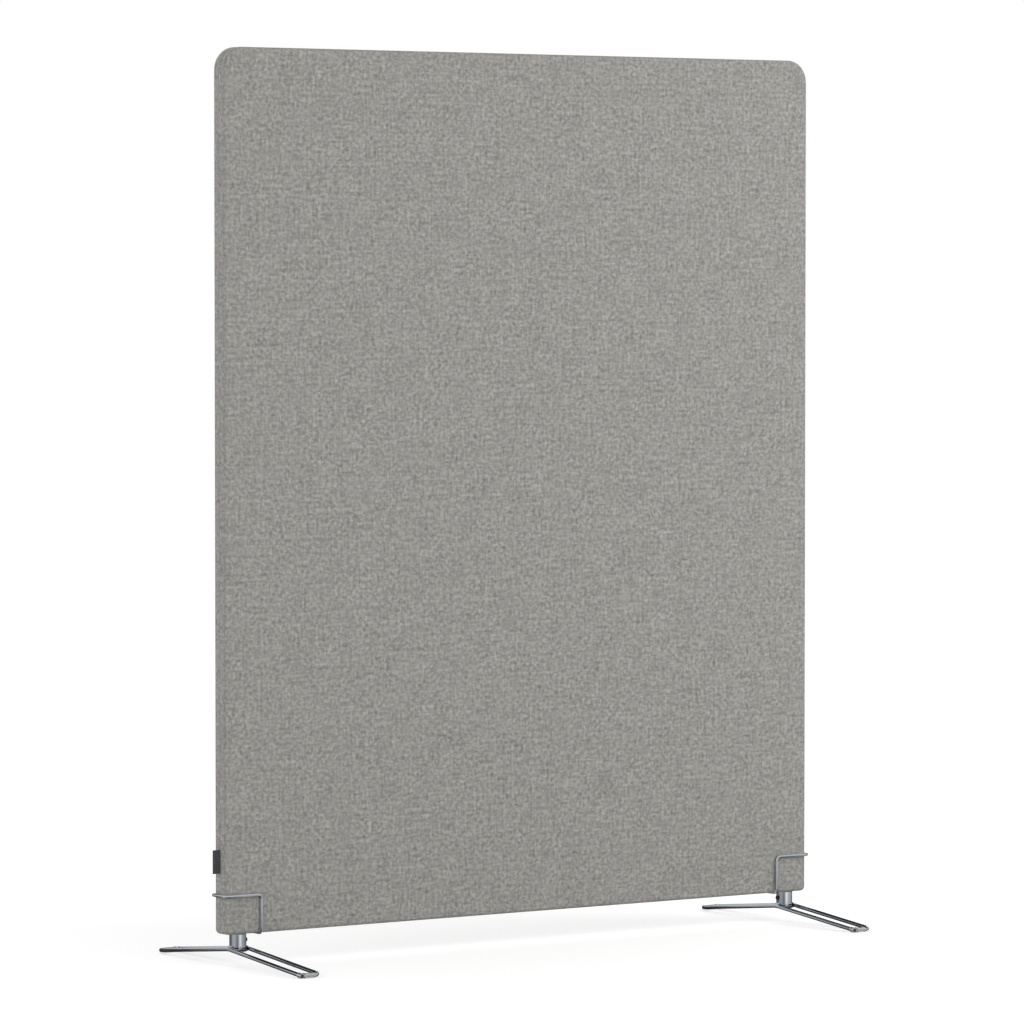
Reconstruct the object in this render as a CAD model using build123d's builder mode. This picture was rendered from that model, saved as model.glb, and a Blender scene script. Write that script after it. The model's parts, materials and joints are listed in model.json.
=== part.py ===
from build123d import *
import math
import os

# Free-standing acoustic divider screen: a fabric-covered panel on two steel wire feet.
# Millimetres. X runs along the panel's width, Y through its thickness (front is -Y), Z is up.
# The origin is on the floor, under the middle of the panel.

# Panel
panel_width = 1200.0
total_height = 1500.0
floor_gap = 52.0
panel_thickness = 36.0
top_corner_radius = 38.0
bottom_corner_radius = 8.0
edge_radius = 6.0

# Panel layers
cover_thickness = 1.0
padding_thickness = 5.0
flap_gap = 3.0
frame_thickness = panel_thickness - 2 * (cover_thickness + padding_thickness)

# Timber frame inside the panel
stile_width = 45.0
rail_height = 45.0
bottom_rail_height = 70.0
dowel_radius = 4.0
dowel_length = 40.0
dowel_clearance = 0.1
dowel_spacing = 22.0

# Staples that close the cover under the panel
staple_crown = 10.0
staple_leg = 8.0
staple_wire = 0.6
staple_pitch = 48.0
staple_row = 6.5
staple_end_margin = 84.0

# Care tag sewn into the side seam
tag_bottom = 152.0
tag_height = 39.0
tag_reach = 15.5
tag_thickness = 1.0
tag_fold_radius = 0.45

# Steel holder at each end of the panel: edge guard wire, plate, spigot, screws
post_x = 566.0
guard_wire = 5.0
guard_leg_x = 533.0
guard_top = 115.5
guard_clearance = 0.4
guard_upper_bend = 7.0
guard_side_bend = 7.5
guard_lower_bend = 7.5
groove_clearance = 0.3
groove_corner_share = 0.98
plate_thickness = 3.0
plate_outer_x = 592.0
plate_screw_reach = 20.0
plate_screw_length = 34.0
plate_screw_radius = 2.0
plate_screw_head = 4.0
countersink_angle = 90
recess_depth = 1.6
tenon_radius = 6.0
spigot_radius = 10.95
spigot_bottom = 26.0
spigot_lead_in = 1.5

# Foot: post tube and two bent rods
post_radius = 14.0
post_bore = 11.0
post_bottom = 22.0
post_top_clearance = 0.3
post_rim_chamfer = 0.6
rod_radius = 3.5
rod_spacing = 36.0
foot_length = 440.0
rod_mid_height = 27.1
sole_thickness = 1.2
rod_mid_bend = 60.0
rod_corner_bend = 10.7
ferrule_radius = 4.2
ferrule_length = 10.0
ferrule_rim_chamfer = 0.35
plug_thickness = 1.4
fit_gap = 0.05

# Glide clipped on each crossbar
glide_length = 17.0
glide_radius = 4.1
glide_sole_width = 7.4
glide_mouth = 4.8

# Clamping screw in the post
screw_height = 41.0
screw_shank = 2.95
screw_head = 4.0
screw_head_height = 3.2
screw_rim_height = 0.8
screw_shoulder_radius = 3.44
screw_shoulder_height = 2.24
screw_crown_radius = 2.04
screw_point_chamfer = 0.59
screw_socket = 1.7
screw_socket_depth = 2.08

# Weld beads: along each rod at the post, and round each crossbar's end
bead_radius = 1.6
bead_length = 15.0
bead_height = 3.2
bead_end_round = 1.5
ring_bead_radius = 0.9

panel_bottom = floor_gap
frame_inset = cover_thickness
frame_half_width = panel_width / 2 - frame_inset
frame_bottom = panel_bottom + frame_inset
frame_top = total_height - frame_inset
bay_half_width = frame_half_width - stile_width
bottom_rail_top = frame_bottom + bottom_rail_height
top_rail_bottom = frame_top - rail_height
middle_rail_height = (bottom_rail_top + top_rail_bottom) / 2
plate_top = panel_bottom + plate_thickness
plate_inner_x = guard_leg_x + guard_wire / 2
rod_x = rod_spacing / 2
crossbar_y = foot_length / 2 - rod_radius
rod_end_height = rod_radius + sole_thickness
rod_slope = math.atan2(rod_mid_height - rod_end_height, crossbar_y)
sides = (("left", -1), ("right", 1))

os.makedirs("parts", exist_ok=True)


def save(piece, name):
    """Label a finished piece and write it under its own name."""
    piece.part.label = name
    export_step(piece.part, f"parts/{name}.step")


def rod_height(y):
    """Height of a foot rod's axis at a distance y from the post, on its straight run."""
    return rod_mid_height - math.tan(rod_slope) * abs(y)


def panel_block(inset):
    """The panel's rounded block, drawn in by inset on every side."""
    half_width = panel_width / 2 - inset
    low = panel_bottom + inset
    high = total_height - inset
    corners = [(-half_width, low), (half_width, low), (half_width, high), (-half_width, high)]
    radii = 2 * [bottom_corner_radius - inset] + 2 * [top_corner_radius - inset]
    with BuildPart() as block:
        with BuildSketch(Plane.XZ):
            with BuildLine():
                FilletPolyline(*corners, radius=radii, close=True)
            make_face()
        extrude(amount=panel_thickness / 2 - inset, both=True)
        broad_faces = block.faces().filter_by(Axis.Y)
        fillet(broad_faces.edges(), radius=edge_radius - inset)
    return block.part


outer_block = panel_block(0)
inner_block = panel_block(cover_thickness)

# Guard wire: its centre line, and the groove that takes its crossing run under the panel
guard_y = panel_thickness / 2 + guard_clearance + guard_wire / 2
guard_side_x = panel_width / 2 + guard_clearance + guard_wire / 2
guard_crossing = panel_bottom


def guard_line(sign):
    """Corners of the guard wire from under the panel, up, round the side edge, and back under it."""
    leg_x = sign * guard_leg_x
    side_x = sign * guard_side_x
    return [
        (leg_x, -fit_gap, guard_crossing),
        (leg_x, -guard_y, guard_crossing),
        (leg_x, -guard_y, guard_top),
        (side_x, -guard_y, guard_top),
        (side_x, guard_y, guard_top),
        (leg_x, guard_y, guard_top),
        (leg_x, guard_y, guard_crossing),
        (leg_x, fit_gap, guard_crossing),
    ]


guard_bends = [
    guard_lower_bend,
    guard_upper_bend,
    guard_side_bend,
    guard_side_bend,
    guard_upper_bend,
    guard_lower_bend,
]

groove_half_width = guard_wire / 2 + groove_clearance
groove_roof = guard_crossing + groove_half_width
groove_bend = guard_lower_bend - guard_wire / 2 - groove_clearance
groove_fillet = groove_corner_share * groove_bend
groove_corner_y = guard_y - guard_lower_bend + groove_bend
groove_far_y = panel_thickness / 2 + guard_wire
groove_floor = panel_bottom - guard_wire

with BuildPart() as guard_groove:
    with BuildSketch(Plane.YZ.offset(-groove_half_width)):
        with BuildLine():
            FilletPolyline(
                (-groove_far_y, groove_floor),
                (groove_far_y, groove_floor),
                (groove_far_y, groove_roof + groove_bend),
                (groove_corner_y, groove_roof + groove_bend),
                (groove_corner_y, groove_roof),
                (-groove_corner_y, groove_roof),
                (-groove_corner_y, groove_roof + groove_bend),
                (-groove_far_y, groove_roof + groove_bend),
                radius=[0, 0, 0, 0, groove_fillet, groove_fillet, 0, 0],
                close=True,
            )
        make_face()
    extrude(amount=2 * groove_half_width)

groove_places = [Location((sign * guard_leg_x, 0, 0)) for _, sign in sides]

# Notch for each mounting plate, open downwards
notch_inner_x = plate_inner_x - fit_gap
notch_outer_x = plate_outer_x + groove_clearance
notch_length = notch_outer_x - notch_inner_x
notch_width = frame_thickness + 2 * groove_clearance
notch_depth = plate_top - groove_floor
notch_places = [
    Location((sign * (notch_inner_x + notch_outer_x) / 2, 0, (plate_top + groove_floor) / 2))
    for _, sign in sides
]

# Covers: two sewn halves that meet at mid-thickness and are folded under the bottom rail
slot_gap = 0.1
slot_length = 2 * (cover_thickness + slot_gap)
tag_middle = tag_bottom + tag_height / 2

for cover_name, half in (("front_cover", Keep.TOP), ("rear_cover", Keep.BOTTOM)):
    with BuildPart() as cover:
        add(outer_block)
        add(inner_block, mode=Mode.SUBTRACT)
        split(bisect_by=Plane.XZ, keep=half)
        with Locations((0, 0, panel_bottom)):
            Box(2 * bay_half_width, flap_gap, 4 * cover_thickness, mode=Mode.SUBTRACT)
        with Locations(*groove_places):
            add(guard_groove.part, mode=Mode.SUBTRACT)
        with Locations(*notch_places):
            Box(notch_length, notch_width, notch_depth, mode=Mode.SUBTRACT)
        with Locations((-panel_width / 2, 0, tag_middle)):
            Box(
                slot_length,
                tag_thickness + 2 * slot_gap,
                tag_height + 2 * slot_gap,
                mode=Mode.SUBTRACT,
            )
    save(cover, cover_name)

# Padding: one soft sheet on each broad side of the frame, rounded at its edges
for padding_name, y_side in (("front_padding", -1), ("rear_padding", 1)):
    face_plane = Plane.XZ.offset(-y_side * frame_thickness / 2)
    with BuildPart() as padding:
        add(inner_block)
        split(bisect_by=face_plane, keep=Keep.TOP if y_side < 0 else Keep.BOTTOM)
        with Locations(*groove_places):
            add(guard_groove.part, mode=Mode.SUBTRACT)
        with Locations(*notch_places):
            Box(notch_length, notch_width, notch_depth, mode=Mode.SUBTRACT)
    save(padding, padding_name)

# Timber frame: where each dowel stands across a joint
stile_x = frame_half_width - stile_width / 2
dowel_places = []
for offset_along in (-dowel_spacing / 2, dowel_spacing / 2):
    for _, sign in sides:
        joint_x = sign * bay_half_width
        dowel_places.append(Location((sign * stile_x + offset_along, 0, bottom_rail_top)))
        for rail_middle in (middle_rail_height, frame_top - rail_height / 2):
            dowel_places.append(Location((joint_x, 0, rail_middle + offset_along), (0, 90, 0)))


def drill_dowel_holes():
    """Drill the dowel holes that fall in the frame piece being made."""
    with Locations(*dowel_places):
        Cylinder(
            dowel_radius + dowel_clearance,
            dowel_length + 2 * dowel_clearance,
            mode=Mode.SUBTRACT,
        )


def keep_slab(x_low, x_high, z_low, z_high):
    """Keep what of the piece lies inside a slab of the frame's thickness."""
    with Locations(((x_low + x_high) / 2, 0, (z_low + z_high) / 2)):
        Box(x_high - x_low, frame_thickness, z_high - z_low, mode=Mode.INTERSECT)


plate_screw_places = [
    (sign * (post_x + offset_along), 0)
    for _, sign in sides
    for offset_along in (-plate_screw_reach, plate_screw_reach)
]

with BuildPart() as bottom_rail:
    add(inner_block)
    keep_slab(-frame_half_width, frame_half_width, frame_bottom, bottom_rail_top)
    drill_dowel_holes()
    with Locations(*groove_places):
        add(guard_groove.part, mode=Mode.SUBTRACT)
    with Locations(*notch_places):
        Box(notch_length, notch_width, notch_depth, mode=Mode.SUBTRACT)
    with BuildSketch(Plane.XY.offset(panel_bottom)):
        with Locations(*plate_screw_places):
            Circle(plate_screw_radius + dowel_clearance)
    extrude(amount=plate_screw_length + dowel_clearance, mode=Mode.SUBTRACT)
save(bottom_rail, "bottom_rail")

for side, sign in sides:
    stile_edges = sorted((sign * bay_half_width, sign * frame_half_width))
    with BuildPart() as stile:
        add(inner_block)
        keep_slab(*stile_edges, bottom_rail_top, frame_top)
        drill_dowel_holes()
    save(stile, f"{side}_stile")

rails = (
    ("top_rail", top_rail_bottom, frame_top),
    ("middle_rail", middle_rail_height - rail_height / 2, middle_rail_height + rail_height / 2),
)
for rail_name, rail_low, rail_high in rails:
    with BuildPart() as rail:
        with Locations((0, 0, (rail_low + rail_high) / 2)):
            Box(2 * bay_half_width, frame_thickness, rail_high - rail_low)
        drill_dowel_holes()
    save(rail, rail_name)

with BuildPart() as frame_dowels:
    with Locations(*dowel_places):
        Cylinder(dowel_radius, dowel_length)
    dowel_ends = frame_dowels.faces().filter_by(GeomType.PLANE)
    chamfer(dowel_ends.edges(), length=dowel_radius / 5)
save(frame_dowels, "frame_dowels")

# Sound-absorbing slabs that fill the two bays of the frame
bays = (
    ("lower_core", bottom_rail_top, middle_rail_height - rail_height / 2),
    ("upper_core", middle_rail_height + rail_height / 2, top_rail_bottom),
)
for core_name, bay_low, bay_high in bays:
    with BuildPart() as core:
        with Locations((0, 0, (bay_low + bay_high) / 2)):
            Box(2 * bay_half_width, frame_thickness, bay_high - bay_low)
    save(core, core_name)

# Staples: two rows that hold the cover's flaps to the bottom rail
staple_span = panel_width - 2 * staple_end_margin
staple_count = round(staple_span / staple_pitch) + 1
with BuildPart() as staple:
    with Locations((0, 0, -staple_wire / 2)):
        Box(staple_crown, 2 * staple_wire, staple_wire)
    with GridLocations(staple_crown - staple_wire, 1, 2, 1):
        Cylinder(staple_wire / 2, staple_leg, align=(Align.CENTER, Align.CENTER, Align.MIN))

with BuildPart() as cover_staples:
    with Locations((0, 0, panel_bottom)):
        with GridLocations(staple_span / (staple_count - 1), 2 * staple_row, staple_count, 2):
            add(staple.part)
save(cover_staples, "cover_staples")

# Care tag: a folded strip caught in the side seam
with BuildPart() as side_tag:
    tag_inner_x = -frame_half_width - fit_gap
    tag_outer_x = -panel_width / 2 - tag_reach
    with Locations(((tag_inner_x + tag_outer_x) / 2, 0, tag_middle)):
        Box(tag_inner_x - tag_outer_x, tag_thickness, tag_height)
    fold_edges = side_tag.edges().filter_by(Axis.Z).group_by(Axis.X)[0]
    fillet(fold_edges, radius=tag_fold_radius)
save(side_tag, "side_tag")

# Wood screw: countersunk head with a cross recess, head face at the origin, shank upwards
head_depth = plate_screw_head - plate_screw_radius
with BuildPart() as wood_screw:
    with BuildSketch(Plane.XZ):
        with BuildLine():
            Polyline(
                (0, 0),
                (plate_screw_head, 0),
                (plate_screw_radius, head_depth),
                (plate_screw_radius, plate_screw_length - 2 * plate_screw_radius),
                (0, plate_screw_length),
                close=True,
            )
        make_face()
    revolve(axis=Axis.Z)
    with BuildSketch(Plane.XY):
        Rectangle(plate_screw_head, plate_screw_radius / 2)
        Rectangle(plate_screw_radius / 2, plate_screw_head)
    extrude(amount=recess_depth, mode=Mode.SUBTRACT)

# Clamping screw: dome head, axis on Z, measured from the post's axis
head_seat = post_radius + post_top_clearance
head_rim = head_seat + screw_rim_height
head_top = head_seat + screw_head_height
screw_tip = post_bore + fit_gap
with BuildPart() as clamp_screw:
    with BuildSketch(Plane.XZ):
        with BuildLine():
            Polyline(
                (screw_crown_radius, head_top),
                (0, head_top),
                (0, screw_tip),
                (screw_shank - screw_point_chamfer, screw_tip),
                (screw_shank, screw_tip + screw_point_chamfer),
                (screw_shank, head_seat),
                (screw_head, head_seat),
                (screw_head, head_rim),
            )
            ThreePointArc(
                (screw_head, head_rim),
                (screw_shoulder_radius, head_seat + screw_shoulder_height),
                (screw_crown_radius, head_top),
            )
        make_face()
    revolve(axis=Axis.Z)
    with BuildSketch(Plane.XY.offset(head_top)):
        RegularPolygon(radius=screw_socket, side_count=6)
    extrude(amount=-screw_socket_depth, mode=Mode.SUBTRACT)

# Foot rod: from its cut end behind, over the post's side, down to the front and across
with BuildPart() as foot_rod:
    with BuildLine() as rod_line:
        rod_cut = foot_length / 2 - plug_thickness - fit_gap
        FilletPolyline(
            (rod_x, rod_cut, rod_height(rod_cut)),
            (rod_x, 0, rod_mid_height),
            (rod_x, -crossbar_y, rod_end_height),
            (-rod_x + ferrule_radius + fit_gap, -crossbar_y, rod_end_height),
            radius=[rod_mid_bend, rod_corner_bend],
        )
    with BuildSketch(Plane(origin=rod_line.line @ 0, z_dir=rod_line.line % 0)):
        Circle(rod_radius)
    sweep(path=rod_line.line)

# Ferrule and dark plug on the rod's cut end
tip_plane = Plane(
    origin=(rod_x, foot_length / 2, rod_height(foot_length / 2)),
    x_dir=(1, 0, 0),
    z_dir=(0, -math.cos(rod_slope), math.sin(rod_slope)),
)
with BuildPart() as end_ferrule:
    with BuildSketch(tip_plane):
        Circle(ferrule_radius)
        Circle(rod_radius + fit_gap, mode=Mode.SUBTRACT)
    extrude(amount=ferrule_length)
    outer_rims = end_ferrule.edges().filter_by(GeomType.CIRCLE).sort_by(SortBy.RADIUS)[-2:]
    chamfer(outer_rims, length=ferrule_rim_chamfer)

with BuildPart() as end_plug:
    with BuildSketch(tip_plane):
        Circle(rod_radius)
    extrude(amount=plug_thickness)

# Glide: an open clip round the crossbar with a flat sole on the floor
glide_middle_x = (ferrule_radius - rod_corner_bend) / 2
with BuildPart() as glide:
    with BuildSketch(Plane.YZ.offset(glide_middle_x - glide_length / 2)):
        with Locations((-crossbar_y, rod_end_height)):
            Circle(glide_radius)
        with Locations((-crossbar_y, sole_thickness)):
            Rectangle(glide_sole_width, 2 * sole_thickness)
        with Locations((-crossbar_y, rod_end_height)):
            Circle(rod_radius + fit_gap, mode=Mode.SUBTRACT)
        with Locations((-crossbar_y, rod_end_height + glide_radius)):
            Rectangle(glide_mouth, glide_radius, mode=Mode.SUBTRACT)
    extrude(amount=glide_length)

# Straight weld bead with rounded ends, and where the beads of a foot go
bead_x = (post_radius + rod_x - rod_radius) / 2
bead_ring_x = -rod_x + ferrule_radius + ring_bead_radius / 2
with BuildPart() as weld_bead:
    Cylinder(bead_radius, bead_length)
    fillet(weld_bead.edges().filter_by(GeomType.CIRCLE), radius=bead_end_round)

for side, sign in sides:
    foot_places = [Location((sign * post_x, 0, 0), (0, 0, turn)) for turn in (0, 180)]

    with BuildPart() as guard:
        with BuildLine() as guard_path:
            FilletPolyline(*guard_line(sign), radius=guard_bends)
        with BuildSketch(Plane(origin=guard_path.line @ 0, z_dir=guard_path.line % 0)):
            Circle(guard_wire / 2)
        sweep(path=guard_path.line)
    save(guard, f"{side}_edge_guard")

    with BuildPart() as mounting_plate:
        with BuildSketch(Plane.XY.offset(panel_bottom)):
            with Locations((sign * (plate_inner_x + plate_outer_x) / 2, 0)):
                Rectangle(plate_outer_x - plate_inner_x, frame_thickness)
            with Locations((sign * post_x, 0)):
                Circle(tenon_radius + dowel_clearance, mode=Mode.SUBTRACT)
        extrude(amount=plate_thickness)
        outer_corners = mounting_plate.edges().filter_by(Axis.Z).group_by(Axis.X)
        fillet(outer_corners[0 if sign < 0 else -1], radius=plate_thickness)
        screw_sites = [
            Location((x, y, panel_bottom), (180, 0, 0))
            for x, y in plate_screw_places
            if x * sign > 0
        ]
        with Locations(*screw_sites):
            CounterSinkHole(
                radius=plate_screw_radius + dowel_clearance,
                counter_sink_radius=plate_screw_head + dowel_clearance,
                depth=plate_thickness,
                counter_sink_angle=countersink_angle,
            )
    save(mounting_plate, f"{side}_mounting_plate")

    with BuildPart() as plate_screws:
        with Locations(*[(x, y, panel_bottom) for x, y in plate_screw_places if x * sign > 0]):
            add(wood_screw.part)
    save(plate_screws, f"{side}_plate_screws")

    with BuildPart() as spigot:
        with BuildSketch(Plane.XY.offset(spigot_bottom)):
            with Locations((sign * post_x, 0)):
                Circle(spigot_radius)
        extrude(amount=panel_bottom - spigot_bottom)
        chamfer(spigot.edges().group_by(Axis.Z)[0], length=spigot_lead_in)
        with BuildSketch(Plane.XY.offset(panel_bottom)):
            with Locations((sign * post_x, 0)):
                Circle(tenon_radius)
        extrude(amount=plate_thickness)
    save(spigot, f"{side}_spigot")

    with BuildPart() as foot_post:
        with BuildSketch(Plane.XY.offset(post_bottom)):
            with Locations((sign * post_x, 0)):
                Circle(post_radius)
                Circle(post_bore, mode=Mode.SUBTRACT)
        extrude(amount=panel_bottom - post_top_clearance - post_bottom)
        end_rims = foot_post.edges().filter_by(GeomType.CIRCLE).sort_by(SortBy.RADIUS)[-2:]
        chamfer(end_rims, length=post_rim_chamfer)
        with BuildSketch(Plane.YZ.offset(sign * post_x)):
            with Locations((0, screw_height)):
                Circle(screw_shank + fit_gap)
        extrude(amount=-sign * head_seat, mode=Mode.SUBTRACT)
    save(foot_post, f"{side}_foot_post")

    with BuildPart() as foot_rods:
        with Locations(*foot_places):
            add(foot_rod.part)
    save(foot_rods, f"{side}_foot_rods")

    with BuildPart() as ferrules:
        with Locations(*foot_places):
            add(end_ferrule.part)
    save(ferrules, f"{side}_rod_ferrules")

    with BuildPart() as plugs:
        with Locations(*foot_places):
            add(end_plug.part)
    save(plugs, f"{side}_rod_end_plugs")

    with BuildPart() as glides:
        with Locations(*foot_places):
            add(glide.part)
    save(glides, f"{side}_foot_glides")

    with BuildPart() as welds:
        with Locations(*foot_places):
            for above in (-bead_height, bead_height):
                with Locations(Location((bead_x, 0, rod_mid_height + above), (90, 0, 0))):
                    add(weld_bead.part)
            with Locations(Location((bead_ring_x, -crossbar_y, rod_end_height), (0, 90, 0))):
                Torus(rod_radius, ring_bead_radius)
        add(foot_rods.part, mode=Mode.SUBTRACT)
        add(foot_post.part, mode=Mode.SUBTRACT)
        add(ferrules.part, mode=Mode.SUBTRACT)
    save(welds, f"{side}_foot_welds")

    with BuildPart() as set_screw:
        screw_plane = Plane(origin=(sign * post_x, 0, screw_height), z_dir=(-sign, 0, 0))
        with Locations(screw_plane):
            add(clamp_screw.part)
    save(set_screw, f"{side}_set_screw")
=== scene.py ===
"""Looks of the acoustic divider screen: cloth covers, wadding, care tag, chromed wire feet."""
import json
import math

import bpy
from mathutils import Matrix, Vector


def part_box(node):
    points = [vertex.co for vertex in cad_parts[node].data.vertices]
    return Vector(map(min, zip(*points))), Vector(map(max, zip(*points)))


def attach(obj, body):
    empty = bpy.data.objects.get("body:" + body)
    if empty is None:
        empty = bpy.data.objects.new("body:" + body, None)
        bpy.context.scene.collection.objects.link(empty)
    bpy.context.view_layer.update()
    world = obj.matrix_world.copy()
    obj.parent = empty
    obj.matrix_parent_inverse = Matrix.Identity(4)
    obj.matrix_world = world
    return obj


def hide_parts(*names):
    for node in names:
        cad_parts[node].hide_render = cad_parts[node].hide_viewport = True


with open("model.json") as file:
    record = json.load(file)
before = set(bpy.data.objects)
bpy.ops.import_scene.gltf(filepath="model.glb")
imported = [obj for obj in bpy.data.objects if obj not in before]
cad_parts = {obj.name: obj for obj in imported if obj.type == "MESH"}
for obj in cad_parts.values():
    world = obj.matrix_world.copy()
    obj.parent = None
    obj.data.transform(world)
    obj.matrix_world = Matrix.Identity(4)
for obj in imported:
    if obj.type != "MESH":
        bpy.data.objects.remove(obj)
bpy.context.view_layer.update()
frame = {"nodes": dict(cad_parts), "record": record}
node = frame["nodes"]

# The panel's box, from the two cover solids
cover_low, cover_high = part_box("front_cover")
half_width = cover_high.x
half_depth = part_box("rear_cover")[1].y
panel_low = cover_low.z
panel_high = cover_high.z
panel_middle = (panel_low + panel_high) / 2
half_height = (panel_high - panel_low) / 2

# Slack in comparing two places, and the least length that counts as one
place_slack = 1e-5
least_length = 1e-6

# Cloth cover, in metres
top_corner, top_corner_steps = 0.038, 16
bottom_corner, bottom_corner_steps = 0.008, 6
edge_round, edge_round_steps = 0.006, 6
cloth_thickness = 0.0009
thread_pitch = 0.0013
flap_gap = 0.0015
rear_sheet_shift = 4.0
faces_down = -0.9

# The seam: half its width, its depth, and the shares of the depth taken in at shares of the width
seam_width = 0.0013
seam_depth = 0.0008
seam_cuts = (1.0, 0.66, 0.33)
seam_pulls = ((0.0, 0.5), (0.33, 0.3), (0.66, 0.2))

# The swell of the broad face: rings by their distance from the border, with shares of the rise
face_crown = 0.0006
crown_rings = ((0.012, 0.35), (0.025, 0.3), (0.045, 0.2), (0.08, 0.15))

# What the holders need out of the cloth under the panel
guard_low, guard_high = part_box("right_edge_guard")
plate_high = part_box("right_mounting_plate")[1]
wire = 0.005
wire_slack = 0.0003
leg_x = guard_low.x + wire / 2
slot_inner = leg_x - wire / 2 - wire_slack
slot_outer = leg_x + wire / 2 + wire_slack
slot_high = panel_low + edge_round + wire_slack
notch_outer = plate_high.x + wire_slack
notch_half = plate_high.y + wire_slack

# Wadding and core slabs: how far their edges are softened, and the frame set into the broad face
wadding_give = 0.004
core_give = 0.0008
slab_corner_steps = 10
slab_edge_steps = 4
slab_face_frame = 0.02
border_slack = 1e-4

# Care tag: half the spacing of its two layers, and how far it leans out towards its fold
tape_thickness = 0.00042
tape_spacing = 0.0003
tape_edge = 0.0001
tape_smooth_angle = 50
fold_inset = 0.0008
fold_steps = 8
tag_cuts = (0.2, 0.4, 0.6, 0.8)
tag_lean = ((0.5, -0.0003), (0.3, -0.0004), (0.1, -0.0005))

# Camera, found by fitting the panel's outline and the feet
camera_place = Vector((-5.7117, -8.0769, 1.14315))
camera_yaw = math.radians(35.1886)
camera_pitch = math.radians(2.3985)
camera_lens = 206.166
sensor_width = 36.0
clip_range = (0.1, 200)

# Floor and air
air_level = 0.62
floor_size = 60
floor_tones = (0.59, 0.61)
floor_glow = 0.53
floor_fade = (1.3, 3.0)

# Soft lamps: name, place, what it points at, size and power
softboxes = (
    ("front_softbox", (-0.3, -6.6, 1.3), (0, 0, 0.8), 3.6, 53),
    ("key_softbox", (2.7, -2.3, 2.1), (0.3, 0, 0.7), 2.2, 56),
    ("side_softbox", (-4.6, -1.2, 1.6), (-0.6, 0, 0.8), 2.2, 55),
    ("rear_softbox", (0.6, 4.2, 4.4), (0, 0, 0.6), 4.0, 70),
)

# Cards for the chrome, near each foot
post_offset = 0.033
foot_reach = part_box("right_foot_rods")[1].y
card_lift = 0.0003
card_shades = (0.97, 1.03)
strip_width = 0.1
dark_tone = 0.1
roof_tone = 0.03
roof_reach = 0.23
roof_margin = 0.04
roof_gap = 0.001
roof_lift = 0.0005
back_outward = 1.2
back_distance = 0.45
back_size = (0.7, 0.12)
tip_away = 0.03
tip_size = (0.036, 0.1)

# The ring round each post: its rays are pairs of a bearing in degrees and a tone
ring_outer = 0.55
ring_inner = 0.18
ring_corners = 48
ring_rays = (
    (-128, 0.16),
    (-98, 0.16),
    (-84, 0.27),
    (-66, 0.46),
    (-48, 0.5),
    (-32, 0.42),
    (-18, 0.33),
    (-4, 0.22),
    (9, 0.28),
    (22, 0.76),
    (32, 1.05),
    (44, 1.1),
    (58, 0.62),
    (72, 0.5),
    (92, 0.46),
    (108, 0.38),
    (136, 0.2),
    (160, 0.14),
)

# Turn of the ring's rays and bearing of the tip card, in degrees, and the wire end behind that card
foot_cards = {
    "left": {
        "post_x": -(leg_x + post_offset),
        "ring_turn": 0,
        "tip_bearing": 75,
        "tip_y": guard_high.y,
    },
    "right": {
        "post_x": leg_x + post_offset,
        "ring_turn": -6,
        "tip_bearing": 30,
        "tip_y": guard_low.y,
    },
}


# Small helpers for work by hand

def deselect():
    """Nothing selected, and no piece being edited."""
    if bpy.context.object and bpy.context.object.mode != "OBJECT":
        bpy.ops.object.mode_set(mode="OBJECT")
    bpy.ops.object.select_all(action="DESELECT")


def take(piece):
    """Select one piece and make it the active one."""
    deselect()
    piece.select_set(True)
    bpy.context.view_layer.objects.active = piece


def settle(piece, name):
    """Name a new piece and put its place into its mesh."""
    piece.name = name
    piece.data.name = name
    take(piece)
    bpy.ops.object.transform_apply(location=True, rotation=True, scale=True)
    return piece


def add_block(name, low, high):
    """A block between two corners."""
    low, high = Vector(low), Vector(high)
    deselect()
    bpy.ops.mesh.primitive_cube_add(size=1, location=(low + high) / 2)
    piece = bpy.context.object
    piece.scale = high - low
    return settle(piece, name)


def edit(piece, select_mode):
    """Open a piece for editing with nothing selected."""
    take(piece)
    bpy.ops.object.mode_set(mode="EDIT")
    bpy.ops.mesh.select_mode(type=select_mode)
    bpy.ops.mesh.select_all(action="DESELECT")


def done():
    """Close the piece being edited."""
    bpy.ops.object.mode_set(mode="OBJECT")


def near(value, target):
    return abs(value - target) < place_slack


def pick(piece, kind, wanted):
    """In edit mode, select the vertices, edges or faces that wanted() says yes to."""
    bpy.ops.mesh.select_all(action="DESELECT")
    bpy.ops.mesh.select_mode(type=kind)
    done()
    mesh = piece.data
    if kind == "VERT":
        for vertex in mesh.vertices:
            vertex.select = wanted(vertex.co)
    elif kind == "EDGE":
        for line in mesh.edges:
            a, b = (mesh.vertices[i].co for i in line.vertices)
            line.select = wanted(a, b)
    else:
        for face in mesh.polygons:
            face.select = wanted(face.center, face.normal)
    bpy.ops.object.mode_set(mode="EDIT")


def round_corners(piece, level, radius, steps):
    """In edit mode, round the block's two corners at a level, seen from the front."""
    pick(piece, "EDGE", lambda a, b: near(a.z, level) and near(b.z, level) and near(a.x, b.x))
    bpy.ops.mesh.bevel(offset=radius, segments=steps, affect="EDGES")


def cut(point, normal):
    """In edit mode, cut the whole piece by a plane and keep both sides."""
    bpy.ops.mesh.select_all(action="SELECT")
    bpy.ops.mesh.bisect(plane_co=point, plane_no=normal)


def apply_modifier(piece, kind, **settings):
    """Add a modifier with these settings and apply it."""
    take(piece)
    modifier = piece.modifiers.new(kind.title(), kind)
    for key, value in settings.items():
        setattr(modifier, key, value)
    bpy.ops.object.modifier_apply(modifier=modifier.name)


def smooth(piece, degrees=35):
    """Smooth shading with its sharp corners kept."""
    take(piece)
    bpy.ops.object.shade_smooth_by_angle(angle=math.radians(degrees))


# Nodes

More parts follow.
